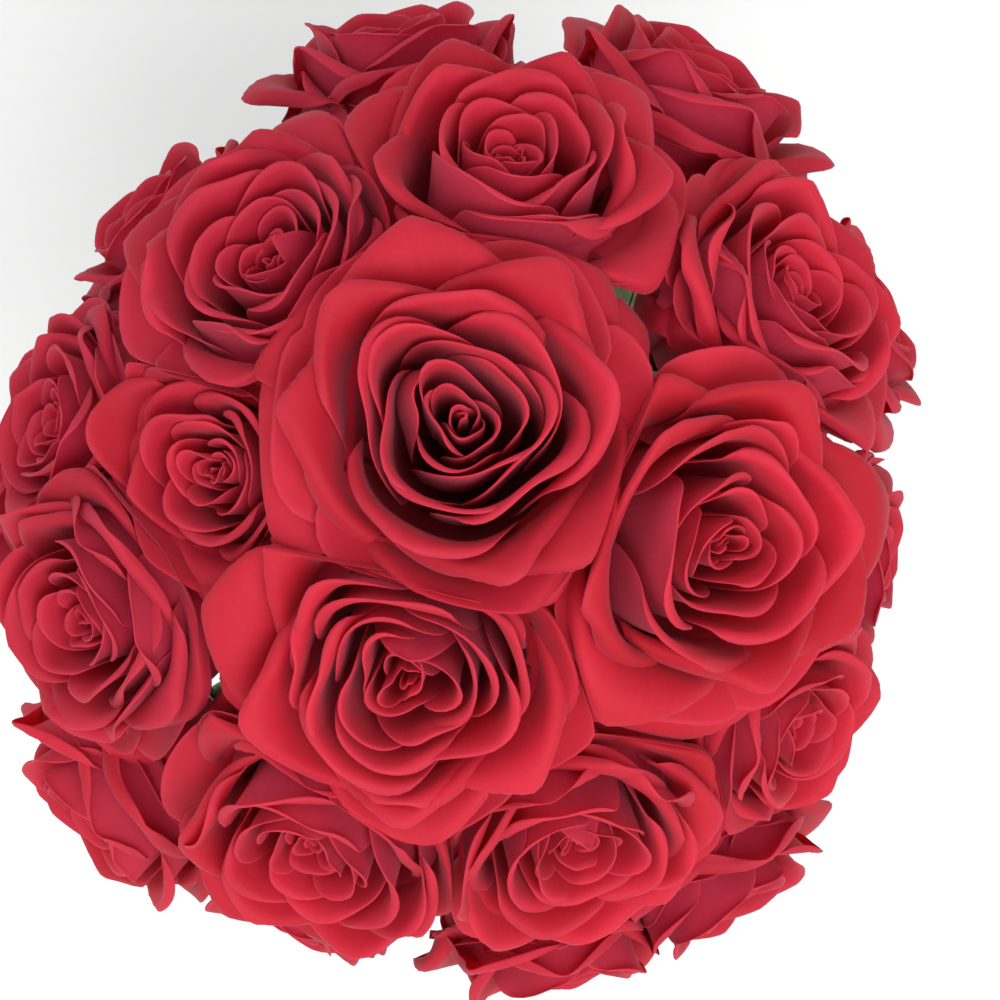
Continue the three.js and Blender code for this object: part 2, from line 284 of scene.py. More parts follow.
# %% The growth streaks group
def make_growth_streaks():
    group = bpy.data.node_groups.new("growth streaks", "ShaderNodeTree")
    face = group.interface
    face.new_socket("Vector", in_out="INPUT", socket_type="NodeSocketVector")
    for name, value in (("Across", 40.0), ("Along", 3.0), ("Cloud Scale", 4.0)):
        socket = face.new_socket(name, in_out="INPUT", socket_type="NodeSocketFloat")
        socket.default_value = value
    face.new_socket("Cloud", in_out="OUTPUT", socket_type="NodeSocketFloat")
    face.new_socket("Streak", in_out="OUTPUT", socket_type="NodeSocketFloat")
    given = add(group, "NodeGroupInput").outputs
    stretch = add(group, "ShaderNodeCombineXYZ", {0: given["Across"], 1: given["Along"], 2: 1.0})
    stretched = add(
        group,
        "ShaderNodeVectorMath",
        {0: given["Vector"], 1: stretch.outputs[0]},
        operation="MULTIPLY",
    )
    streak = add(
        group,
        "ShaderNodeTexNoise",
        {"Vector": stretched.outputs[0], "Scale": 1.0, "Detail": 3.0, "Roughness": 0.6},
    )
    cloud = add(
        group,
        "ShaderNodeTexNoise",
        {"Vector": given["Vector"], "Scale": given["Cloud Scale"], "Detail": 4.0},
    )
    out = add(group, "NodeGroupOutput")
    group.links.new(cloud.outputs[0], out.inputs["Cloud"])
    group.links.new(streak.outputs[0], out.inputs["Streak"])
    return group


growth_streaks = make_growth_streaks()


def streaks(tree, vector, across, along, cloud_scale):
    node = add(tree, "ShaderNodeGroup", node_tree=growth_streaks)
    tree.links.new(vector, node.inputs["Vector"])
    for name, value in (("Across", across), ("Along", along), ("Cloud Scale", cloud_scale)):
        node.inputs[name].default_value = value
    return node.outputs["Cloud"], node.outputs["Streak"]


print("shared shader groups:", growth_streaks.name)

# %% [markdown]
# ## Velvet petals
#
# The inside of a red rose petal is covered in tiny domed cells. They trap light seen face on and
# catch it at a glancing angle, which reads as velvet: deep red faces and a soft bloom on every
# curve. The outside lacks them and is duller and pinker. A petal is thin enough for some light to
# come through, and most of all at its rim, which looks lighter: that lighter rim is painted light,
# a paler colour painted along the edge. The petals carry four numbers for this: `rim` (1 at the
# edge, where the paler painted light goes), `outside` (1 on the outer face), `tone` (one random
# value for each petal) and `age` (the same over a whole bloom).


# %% The petal material
PETAL_TRANSLUCENCY = 0.5


def make_petal_material():
    material, tree = new_material("velvet_petal")
    rim = add(tree, "ShaderNodeAttribute", attribute_name="rim").outputs["Fac"]
    outside = add(tree, "ShaderNodeAttribute", attribute_name="outside").outputs["Fac"]
    tone = add(tree, "ShaderNodeAttribute", attribute_name="tone").outputs["Fac"]
    age = add(tree, "ShaderNodeAttribute", attribute_name="age").outputs["Fac"]
    uv = add(tree, "ShaderNodeUVMap", uv_map="petal").outputs[0]
    cloud, streak = streaks(tree, uv, 46.0, 2.2, 3.0)
    shade = maths(tree, "MULTIPLY_ADD", cloud, 0.7, maths(tree, "MULTIPLY", tone, 0.4))
    inner = mix_colour(tree, ramp(tree, shade, 0.3, 0.85), rgb(206, 22, 36), rgb(236, 34, 54))
    outer = mix_colour(tree, ramp(tree, shade, 0.3, 0.85), rgb(200, 36, 60), rgb(222, 50, 76))
    face = mix_colour(tree, outside, inner, outer)
    face = mix_colour(tree, maths(tree, "MULTIPLY", age, 0.5), face, rgb(176, 30, 60))
    face = mix_colour(tree, maths(tree, "MULTIPLY", streak, 0.35), face, rgb(170, 16, 30))
    # Painted light: the rim is painted paler, standing in for the light that shines through the
    # thin edge.
    colour = mix_colour(tree, maths(tree, "MULTIPLY", rim, 0.5), face, rgb(232, 52, 78))
    relief = maths(tree, "ADD", streak, maths(tree, "MULTIPLY", cloud, 1.5))
    bump = add(tree, "ShaderNodeBump", {"Height": relief, "Strength": 0.25, "Distance": 0.3 * MM})
    surface = add(
        tree,
        "ShaderNodeBsdfPrincipled",
        {
            "Base Color": colour,
            "Roughness": maths(tree, "ADD", maths(tree, "MULTIPLY", streak, 0.15), 0.55),
            "Specular IOR Level": 0.13,
            "Sheen Weight": 0.13,
            "Sheen Roughness": 0.5,
            "Sheen Tint": (1.0, 0.35, 0.5, 1),
            "Normal": bump.outputs[0],
        },
    )
    through = add(tree, "ShaderNodeBsdfTranslucent", {"Color": colour, "Normal": bump.outputs[0]})
    petal = add(
        tree,
        "ShaderNodeMixShader",
        {0: PETAL_TRANSLUCENCY, 1: surface.outputs[0], 2: through.outputs[0]},
    )
    add(tree, "ShaderNodeOutputMaterial", {"Surface": petal.outputs[0]})
    return material


velvet_petal = make_petal_material()
print("material:", velvet_petal.name)

# %% [markdown]
# ## A thin sheet
#
# Petals, sepals and leaflets are all sheets. A sheet starts as a grid of points, rows from its
# base to its tip. Its two faces lie half a thickness to either side, and a strip round the edge
# closes it, so each sheet is a real solid. Its corners remember which grid point they came from,
# because the picture coordinates of the strip are taken from the face beside it.


# %% From a grid of points to a closed sheet
class Sheet:
    """The points, faces and picture coordinates of one closed sheet."""

    def __init__(self, grid, thickness):
        rows, columns = grid.shape[:2]
        normal = np.cross(np.gradient(grid, axis=1), np.gradient(grid, axis=0))
        normal /= np.linalg.norm(normal, axis=2, keepdims=True) + 1e-12
        offset = normal * thickness[..., None] / 2
        self.points = np.concatenate([grid + offset, grid - offset]).reshape(-1, 3)
        self.count = rows * columns
        index = np.arange(self.count).reshape(rows, columns)
        a, b, c, d = index[:-1, :-1], index[:-1, 1:], index[1:, 1:], index[1:, :-1]
        front = np.stack([a, b, c, d], axis=-1).reshape(-1, 4)
        back = np.stack([a, d, c, b], axis=-1).reshape(-1, 4) + self.count
        ring = np.concatenate([index[0, :-1], index[:-1, -1], index[-1, :0:-1], index[:0:-1, 0]])
        after = np.roll(ring, -1)
        strip = np.stack([ring, ring + self.count, after + self.count, after], axis=-1)
        strip_source = np.stack([ring, ring, after, after], axis=-1)
        self.faces = np.concatenate([front, back, strip])
        self.sources = np.concatenate([front, back, strip_source])
        across, along = np.meshgrid(np.linspace(0, 1, columns), np.linspace(0, 1, rows))
        self.places = np.tile(np.stack([across.ravel(), along.ravel()], axis=-1), (2, 1))


BAKE_MARGIN = 0.04  # round each face, as a share of its cell
PATTERN_STEP = np.array([0.37, 0.61])  # so that no two sheets have the same streaks


def mesh_of_sheets(name, sheets, material, keys, pattern):
    """One mesh of many sheets. keys names the values per point that the sheets carry."""
    starts = np.cumsum([0] + [len(sheet.points) for sheet in sheets])
    points = np.concatenate([sheet.points for sheet in sheets])
    faces = np.concatenate([sheet.faces + start for sheet, start in zip(sheets, starts)])
    sources = np.concatenate([sheet.sources + start for sheet, start in zip(sheets, starts)])
    mesh = bpy.data.meshes.new(name)
    mesh.from_pydata(points.tolist(), [], faces.tolist())
    mesh.materials.append(material)
    mesh.shade_smooth()
    for key in keys:
        values = np.concatenate([getattr(sheet, key) for sheet in sheets])
        attribute = mesh.attributes.new(key, "FLOAT", "POINT")
        attribute.data.foreach_set("value", values.astype(np.float32))
    corners = sources.ravel()
    places = np.concatenate([sheet.places + PATTERN_STEP * k for k, sheet in enumerate(sheets)])
    mesh.uv_layers.new(name=pattern).uv.foreach_set("vector", places[corners].ravel())
    columns = math.ceil(math.sqrt(2 * len(sheets)))
    bake = []
    for k, sheet in enumerate(sheets):
        for side in (0, 1):
            cell = np.array(divmod(2 * k + side, columns)[::-1])
            half = slice(side * sheet.count, (side + 1) * sheet.count)
            inside = BAKE_MARGIN + (1 - 2 * BAKE_MARGIN) * sheet.places[half]
            bake.append((cell + inside) / columns)
    bake = np.concatenate(bake)
    mesh.uv_layers.new(name="OFBake").uv.foreach_set("vector", bake[corners].ravel())
    mesh.validate()
    return mesh


def add_piece(name, mesh, slot, *nodes):
    piece = bpy.data.objects.new(name, mesh)
    bpy.context.collection.objects.link(piece)
    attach(piece, BODY)
    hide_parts(*nodes)
    return piece


# %% [markdown]
# ## The cup that petals wrap round
#
# Seen in section, a petal climbs out of the hip, swells to the belly, rises as a wall and then
# turns outward. Petals nest because all of them share one belly curve and differ in radius, wall
# height and how far they turn out: the heart's petals stand upright and the guard petals, the
# outermost, lie right back.

# %% The section of one petal
BELLY_HEIGHT = 0.5 * HEAD_HEIGHT
HIP_TOP_RADIUS = 3.6 * MM
SECTION_STEPS = 40


class Section:
    """A petal's section: its length and, at each distance along it, radius, height and slope."""

    def __init__(self, belly, wall_top, lean, turn_out, turn_radius, reach):
        start = min(HIP_TOP_RADIUS, 0.55 * belly)
        t = np.linspace(0, math.pi / 2, SECTION_STEPS)
        radius = start + (belly - start) * np.sin(t) ** 0.9
        height = BELLY_HEIGHT * (1 - np.cos(t)) ** 0.8
        q = np.linspace(0, 1, SECTION_STEPS // 2)[1:]
        radius = np.append(radius, belly + lean * q**2)
        height = np.append(height, BELLY_HEIGHT + (wall_top - BELLY_HEIGHT) * q)
        lean_angle = math.atan(2 * lean / (wall_top - BELLY_HEIGHT))
        angles = lean_angle + np.linspace(0, turn_out, SECTION_STEPS)[1:]
        step = turn_radius * turn_out / (SECTION_STEPS - 1)
        angles = np.append(angles, np.full(SECTION_STEPS // 2, angles[-1]))
        steps = np.append(
            np.full(SECTION_STEPS - 1, step),
            np.full(SECTION_STEPS // 2, reach / (SECTION_STEPS // 2)),
        )
        radius = np.append(radius, radius[-1] + np.cumsum(np.sin(angles) * steps))
        height = np.append(height, height[-1] + np.cumsum(np.cos(angles) * steps))
        self.radius, self.height = radius, height
        self.distance = np.append(0, np.cumsum(np.hypot(np.diff(radius), np.diff(height))))
        self.length = self.distance[-1]
        self.slope = np.unwrap(np.arctan2(np.gradient(height), np.gradient(radius)))

    def at(self, distance):
        distance = np.clip(distance, 0, self.length)
        return [
            np.interp(distance, self.distance, values)
            for values in (self.radius, self.height, self.slope)
        ]


print("sections: the belly is", round(BELLY_HEIGHT / MM), "mm above the hip")

# %% [markdown]
# ## One petal
#
# The flat petal is widest near its top, which is rounded. Each side of the margin rolls back
# round its own line, and the two lines meet at the tip. That is what gives an open rose its
# pointed petals: the roll hides the rounded corners, and the fold between them shows as a tip.

# %% Shape, roll and wrap one petal
PETAL_THICKNESS = 0.5 * MM
# How far in from the edge the rim's paler painted light reaches.
RIM_WIDTH = 1.6 * MM
TIP_SOFTNESS = 0.8 * MM
SIDE_FALL = 0.26  # how far the outline falls at its two sides, so that they tuck in below
ROW_CROWDING = 1.6  # above 1, the rows of points crowd towards the tip
BASE_WIDTH = 0.62  # of the full width
THIN_EDGE = 0.45  # of the full thickness
THINNING_WIDTH = 3 * MM
SKEW_WIDTH = 3 * MM
EDGE_WAVE = 0.012  # of the petal's length


def blend(low, high, share):
    return low + (high - low) * share


class Petal:
    """The values that shape one petal of a bloom."""

    def __init__(self, **values):
        self.__dict__.update(values)

    def sheet(self, bend):
        section = Section(
            self.belly, self.wall_top, self.lean, self.turn_out, self.turn_radius, self.reach
        )
        u, t = np.meshgrid(np.linspace(-1, 1, self.columns), np.linspace(0, 1, self.rows))
        v = 1 - (1 - t) ** ROW_CROWDING
        from_tip = np.abs(u - self.tip_shift)
        outline = section.length * (1 - self.rounding * (0.2 * from_tip + 0.8 * from_tip**2.6))
        outline *= 1 - SIDE_FALL * np.abs(u) ** 9
        outline *= 1 + EDGE_WAVE * np.sin(5.1 * u + self.phase)
        along = outline * v
        widening = blend(BASE_WIDTH, 1, np.sin(np.minimum(v * 1.5, 1) * math.pi / 2))
        across = self.half_width * u * widening
        top_radius = section.radius[-1]

        # Roll each side of the margin back round its own line.
        x = across * top_radius
        tip_x = self.tip_shift * self.half_width * top_radius
        tip_y = outline.max() - self.tip_width
        side = np.sqrt((x - tip_x) ** 2 + TIP_SOFTNESS**2) - TIP_SOFTNESS
        roll_angle = self.roll_angle + self.roll_skew * np.tanh((x - tip_x) / SKEW_WIDTH)
        beyond = side * np.sin(roll_angle) + (along - tip_y) * np.cos(roll_angle)
        beyond = np.maximum(beyond, 0)
        rolled = np.minimum(beyond / self.roll_radius, self.roll_most)
        rest = beyond - rolled * self.roll_radius
        pull = self.roll_radius * np.sin(rolled) + rest * np.cos(rolled) - beyond
        lift = self.roll_radius * (1 - np.cos(rolled)) + rest * np.sin(rolled)
        x_pull = pull * np.sin(roll_angle) * np.sign(x - tip_x) * np.minimum(side / MM, 1)
        y_pull = pull * np.cos(roll_angle)

        # Wrap it round the cup.
        radius, height, slope = section.at(along + y_pull)
        wave = self.wave * v**3 * np.sin(self.waves * u + self.phase)
        radius = radius + (lift + wave) * np.sin(slope) + self.spiral * u * v
        height = height - (lift + wave) * np.cos(slope)
        angle = self.angle + across + x_pull / top_radius
        radius = radius * bend(angle, radius)
        radius *= 1 + self.crumple * np.cos(2 * angle + self.fold_angle)
        grid = np.stack(
            [radius * np.cos(angle), radius * np.sin(angle), HIP_HEIGHT + CLEARANCE + height],
            axis=-1,
        )
        grid[..., :2] += self.shift * v[..., None]
        edge = np.minimum(outline - along, (1 - np.abs(u)) * self.half_width * top_radius)
        edge = edge[:, ::-1]
        thickness = PETAL_THICKNESS * blend(THIN_EDGE, 1, np.clip(edge / THINNING_WIDTH, 0, 1))
        sheet = Sheet(grid[:, ::-1], thickness)
        # The mask for the painted light along the rim: 1 at the edge, fading inward.
        sheet.rim = np.tile(np.exp(-edge.ravel() / RIM_WIDTH), 2)
        sheet.outside = np.repeat([0.0, 1.0], sheet.count)
        sheet.tone = np.full(2 * sheet.count, self.tone)
        return sheet


print("petals:", PETAL_THICKNESS / MM, "mm thick, and", THIN_EDGE, "of that at the edge")

# %% [markdown]
# ## A bloom
#
# Petals grow one after another at the golden angle, 137.5 degrees, so no petal stands right over
# the last. The bloom has five zones. The heart is a few small petals rolled tight. Round it is
# a hollow, then the crowded middle petals, upright and close together. Then come the large outer
# petals, each a little lower and further turned out than the last. Under them two even rings fill
# the corners between neighbours: low petals, and wide guard petals that lie back over them.

# %% Plan the petals of one rose
HEART_PETALS = 8
MIDDLE_PETALS = 11
OUTER_PETALS = 10
UNDER_PETALS = 6
GUARD_PETALS = 6
FOLDING_HOLLOW = 9  # round a hollow this wide one petal folds in and shows its paler back

# A zone gives LENGTHS in millimetres, ANGLES in degrees and wall_top as a share of the height.
LENGTHS = ["belly", "lean", "turn_radius", "reach", "roll_radius", "tip_width", "wave"]
LENGTHS += ["spiral", "stray"]
ANGLES = ["turn_out", "half_width", "roll_angle"]


def zone(chance, height, count, wall_spread=0, roll_spread=0, **values):
    """The petals of one zone. A pair of values runs from its first petal to its last."""
    petals = []
    for share in np.linspace(0, 1, count):
        own = {k: blend(*v, share) if isinstance(v, tuple) else v for k, v in values.items()}
        if wall_spread:
            own["wall_top"] += chance.uniform(-wall_spread, wall_spread)
        if roll_spread:
            own["roll_angle"] += chance.uniform(-roll_spread, roll_spread)
        own["wall_top"] *= height
        own.update({key: own[key] * MM for key in LENGTHS})
        own.update({key: math.radians(own[key]) for key in ANGLES})
        petals.append(Petal(**own))
    return petals


def plan_petals(rose):
    chance = np.random.default_rng(rose.seed)
    size, opening, pressed = rose.size, rose.opening, rose.pressed
    height = HEAD_HEIGHT * size
    middle_turn = 0.8 + 0.4 * opening
    heart = zone(
        chance,
        height,
        HEART_PETALS,
        wall_spread=0.02,
        belly=(1.5 * size, 0.8 * rose.hollow * size),
        wall_top=(0.8, 0.88),
        lean=(-0.2, 0.6),
        turn_out=(10, 25),
        turn_radius=3,
        reach=0.4,
        half_width=(120, 85),
        rounding=0.16,
        roll_angle=14,
        roll_radius=1.0,
        roll_most=1.8,
        tip_width=0.8,
        wave=0.5,
        spiral=0.5,
        crumple=(0.3, 0.12),
        stray=(1.0, 1.6),
        columns=23,
        rows=13,
    )
    middle = zone(
        chance,
        height,
        MIDDLE_PETALS,
        wall_spread=0.02,
        belly=(rose.hollow * size, 20 * size),
        wall_top=(0.9, 0.95),
        lean=(0.4, 1.8),
        turn_out=(14 * middle_turn, 34 * middle_turn),
        turn_radius=5,
        reach=0.6,
        half_width=(82, 66),
        rounding=0.2,
        roll_angle=(10, 18),
        roll_radius=1.4,
        roll_most=2.3,
        tip_width=1.1,
        wave=0.5,
        spiral=0.9,
        crumple=(0.09, 0.03),
        stray=(1.2, 0.6),
        columns=27,
        rows=14,
    )
    if rose.hollow >= FOLDING_HOLLOW:
        middle[1].lean = -4.5 * MM
        middle[1].half_width = math.radians(50)
    outer = zone(
        chance,
        height,
        OUTER_PETALS,
        roll_spread=3,
        belly=(22.5 * size, 29 * size),
        wall_top=(0.92, blend(0.72, 0.58, opening)),
        lean=(2.2, 3.4),
        turn_out=(36, blend(70, 92, opening)),
        turn_radius=(6 * size, 10 * size),
        reach=(1.0, blend(3.0, 5.0, pressed)),
        half_width=60,
        rounding=(0.24, 0.3),
        roll_angle=(24, 31),
        roll_radius=(1.2, 2.0),
        roll_most=2.7,
        tip_width=(1.2, 1.8),
        wave=(0.5, 1.2),
        spiral=1.4,
        crumple=0.02,
        stray=0.4,
        columns=35,
        rows=21,
    )
    under = zone(
        chance,
        height,
        UNDER_PETALS,
        belly=24 * size,
        wall_top=(BELLY_HEIGHT + 2 * MM) / height,
        lean=1,
        turn_out=30,
        turn_radius=8,
        reach=blend(3.0, 15.0, pressed),
        half_width=44,
        rounding=0.16,
        roll_angle=0,
        roll_radius=2.0,
        roll_most=1,
        tip_width=0,
        wave=1.2,
        spiral=1.4,
        crumple=0,
        stray=0,
        columns=17,
        rows=13,
    )
    guard = zone(
        chance,
        height,
        GUARD_PETALS,
        wall_spread=0.03,
        roll_spread=4,
        belly=blend(29, 31, pressed) * size,
        wall_top=blend(0.6, 0.46, opening),
        lean=3.6,
        turn_out=blend(74, 104, opening),
        turn_radius=blend(9, 11, pressed) * size,
        reach=blend(3.0, 12.0, pressed),
        half_width=48,
        rounding=0.2,
        roll_angle=30,
        roll_radius=2.0,
        roll_most=2.4,
        tip_width=1.6,
        wave=1.2,
        spiral=1.4,
        crumple=0.02,
        stray=0,
        columns=31,
        rows=17,
    )
    petals = heart + middle + outer + under + guard
    for k, petal in enumerate(petals):
        petal.angle = math.radians(k * GOLDEN_ANGLE + chance.uniform(-14, 14))
        if k >= len(petals) - GUARD_PETALS:
            petal.angle = math.radians(k * 360 / GUARD_PETALS + chance.uniform(-9, 9))
        elif k >= len(petals) - GUARD_PETALS - UNDER_PETALS:
            petal.angle = math.radians(k * 360 / UNDER_PETALS)
        petal.phase = chance.uniform(0, 2 * math.pi)
        petal.waves = chance.uniform(2.2, 4.2)
        petal.tone = chance.uniform(0, 1)
        petal.tip_shift = chance.uniform(-0.2, 0.2)
        petal.roll_skew = math.radians(chance.uniform(-7, 7))
        petal.fold_angle = chance.uniform(0, 2 * math.pi)
        petal.shift = petal.stray * chance.uniform(-1, 1, 2)
    return petals


print("a bloom:", HEART_PETALS + MIDDLE_PETALS + OUTER_PETALS, "petals and two rings under them")

# %% [markdown]
# ## Out of round
#
# No bloom is a true circle. The heart is oval, the hollow round it has three soft corners, and
# the outer petals make a faint five-cornered ring. One factor that depends on the angle and the
# radius bends all petals of a bloom alike, so what nested before still nests.

# %% Bend, build and place the blooms
HEART_REACH = 9 * MM  # how far out the heart's bend still counts
HEART_OVAL = 0.3
HEART_CORNERS = 0.1
PLAIN_HOLLOW = 8  # a hollow wider than this is more three-cornered
OUTER_CORNERS = 0.03


def bend_of(rose):
    """How far from round the bloom is, at an angle and a radius. All its petals share it."""
    chance = np.random.default_rng(100 + rose.seed)
    oval, three, five = chance.uniform(0, 2 * math.pi, 3)
    corners = HEART_CORNERS + 0.03 * max(rose.hollow - PLAIN_HOLLOW, 0)

    def bend(angle, radius):
        heart = np.exp(-radius / HEART_REACH)
        return (
            1
            + HEART_OVAL * heart * np.cos(2 * (angle - oval))
            + corners * np.sqrt(heart) * np.cos(3 * (angle - three))
            + OUTER_CORNERS * np.cos(5 * (angle - five))
        )

    return bend


def make_bloom(rose):
    bend = bend_of(rose)
    sheets = [petal.sheet(bend) for petal in plan_petals(rose)]
    for sheet in sheets:
        sheet.points = keep_in_cell(rose.to_world(sheet.points), rose)
        sheet.age = np.full(2 * sheet.count, rose.age)
    keys = ("rim", "outside", "tone", "age")
    mesh = mesh_of_sheets(f"bloom_{rose.name}", sheets, velvet_petal, keys, "petal")
    return add_piece(f"bloom_{rose.name}", mesh, "petals", f"rose_head_{rose.name}")


blooms = [make_bloom(rose) for rose in roses]
print("blooms:", len(blooms), "with", sum(len(b.data.polygons) for b in blooms), "faces")

# %% [markdown]
# ## Turned solids
#
# The hip under a bloom, a leaf stalk and the vase are all round about an axis. A profile that
# starts and ends on the axis, turned about it, is a closed solid. Two small helpers go with it:
# one adds a solid to a mesh in the making, and one turns points in the flat.


# %% Turn a profile
def turned(profile, sides):
    """Points and faces of a profile of (radius, height) pairs turned about +Z."""
    angles = np.linspace(0, 2 * math.pi, sides, endpoint=False)
    ring = np.stack([np.cos(angles), np.sin(angles)], axis=-1)
    points = [[(0, 0, profile[0][1])]]
    for radius, height in profile[1:-1]:
        points.append(np.column_stack([ring * radius, np.full(sides, height)]))
    points.append([(0, 0, profile[-1][1])])
    points = np.concatenate(points)
    faces = []
    last = len(points) - 1
    for j in range(sides):
        k = (j + 1) % sides
        faces.append((0, 1 + k, 1 + j))
        for i in range(len(profile) - 3):
            low, high = 1 + i * sides, 1 + (i + 1) * sides
            faces.append((low + j, low + k, high + k, high + j))
        faces.append((last - sides + j, last - sides + k, last))
    return points, faces


def add_solid(shape, points, faces):
    """Add a smooth solid to a mesh in the making, and give back its corners."""
    corners = [shape.verts.new(point) for point in points]
    for face in faces:
        shape.faces.new([corners[i] for i in face]).smooth = True
    return corners


def turn_flat(x, y, angle):
    """Turn x and y about +Z."""
    c, s = math.cos(angle), math.sin(angle)
    return x * c - y * s, x * s + y * c


def arc(centre_radius, centre_height, radius, start, end, steps):
    angles = np.radians(np.linspace(start, end, steps + 1))
    return [
        (centre_radius + radius * math.cos(a), centre_height + radius * math.sin(a))
        for a in angles
    ]


# %% [markdown]
# ## Green bark
#
# A cut stem is smooth, waxy and mid green, with faint streaks along it and a reddish flush where
# it gets the most sun. The bump stays very low, because the wax fills it.


# %% The bark material
def make_bark_material():
    material, tree = new_material("green_bark")
    place = add(tree, "ShaderNodeTexCoord").outputs["Object"]
    cloud, streak = streaks(tree, place, 900.0, 60.0, 45.0)
    green = mix_colour(tree, ramp(tree, cloud, 0.35, 0.7), rgb(62, 88, 34), rgb(98, 124, 56))
    green = mix_colour(tree, maths(tree, "MULTIPLY", streak, 0.35), green, rgb(132, 150, 84))
    flush = maths(tree, "MULTIPLY", ramp(tree, cloud, 0.55, 0.8), 0.3)
    colour = mix_colour(tree, flush, green, rgb(112, 62, 44))
    bump = add(tree, "ShaderNodeBump", {"Height": streak, "Strength": 0.3, "Distance": 0.2 * MM})
    surface = add(
        tree,
        "ShaderNodeBsdfPrincipled",
        {
            "Base Color": colour,
            "Roughness": maths(tree, "ADD", maths(tree, "MULTIPLY", cloud, 0.2), 0.32),
            "Normal": bump.outputs[0],
        },
    )
    add(tree, "ShaderNodeOutputMaterial", {"Surface": surface.outputs[0]})
    return material


green_bark = make_bark_material()
print("material:", green_bark.name)

# %% [markdown]
# ## The path of a stem
#
# A florist turns the bunch as it grows in the hand, so the stems cross in one spiral and lock.
# Each stem runs straight from the floor of the vase to its mouth, and then bends out to the
# underside of its own bloom.

# %% Where a stem runs
VASE_RADIUS = 56 * MM
VASE_WALL = 4 * MM
VASE_FLOOR = 12 * MM
STEM_RADIUS = 2.7 * MM
STEM_TWIST = math.radians(100)
STEM_FLOOR_INSET = 2 * MM
BEND_START = 0.3
NECK_LENGTH = 22 * MM
STRAIGHT_STEPS = 24
BEND_STEPS = 36


def stem_path(rose):
    share = rose.polar / LOWEST_POLAR
    lean = math.sin(STEM_TWIST / 2)
    tilt = math.atan(2 * VASE_RADIUS * share * lean / (VASE_HEIGHT - VASE_FLOOR))
    mouth_reach = VASE_RADIUS - VASE_WALL - CLEARANCE - STEM_RADIUS / math.cos(tilt)
    floor_reach = mouth_reach - STEM_FLOOR_INSET
    azimuth = math.radians(rose.azimuth)
    foot_angle = azimuth - STEM_TWIST
    foot_height = VASE_FLOOR + CLEARANCE + STEM_RADIUS * math.sin(tilt)
    foot = np.array([math.cos(foot_angle), math.sin(foot_angle), 0]) * floor_reach * share
    foot[2] = foot_height
    mouth = np.array([math.cos(azimuth), math.sin(azimuth), 0]) * mouth_reach * share
    mouth[2] = VASE_HEIGHT
    run = (mouth - foot) / np.linalg.norm(mouth - foot)
    rise = np.linalg.norm(rose.base - mouth)
    controls = [
        mouth,
        mouth + run * BEND_START * rise,
        rose.base - rose.axis * NECK_LENGTH,
        rose.base,
    ]
    t = np.linspace(0, 1, STRAIGHT_STEPS, endpoint=False)[:, None]
    straight = foot + (mouth - foot) * t
    t = np.linspace(0, 1, BEND_STEPS)[:, None]
    weights = [(1 - t) ** 3, 3 * t * (1 - t) ** 2, 3 * t**2 * (1 - t), t**3]
    bend = sum(weight * control for weight, control in zip(weights, controls))
    return np.concatenate([straight, bend])


for rose in roses:
    rose.path = stem_path(rose)
lengths = [np.linalg.norm(np.diff(rose.path, axis=0), axis=1).sum() for rose in roses]
print("stems:", round(min(lengths), 3), "to", round(max(lengths), 3), "m long")

# %% [markdown]
# ## Stems with prickles
#
# The bark follows the path, and prickles sit along it at random, hooked a little downward: this
# is what Geometry Nodes do best. One tree sweeps a circle along the stem's curve and scatters
# cones on it. The stretch that stands in the vase is stripped of prickles, as a florist does, so
# the tree takes the height where they start.


# %% The tree that grows a stem
STEM_SIDES = 14
PRICKLE_SIDES = 7
PRICKLE_HOOK = math.radians(108)


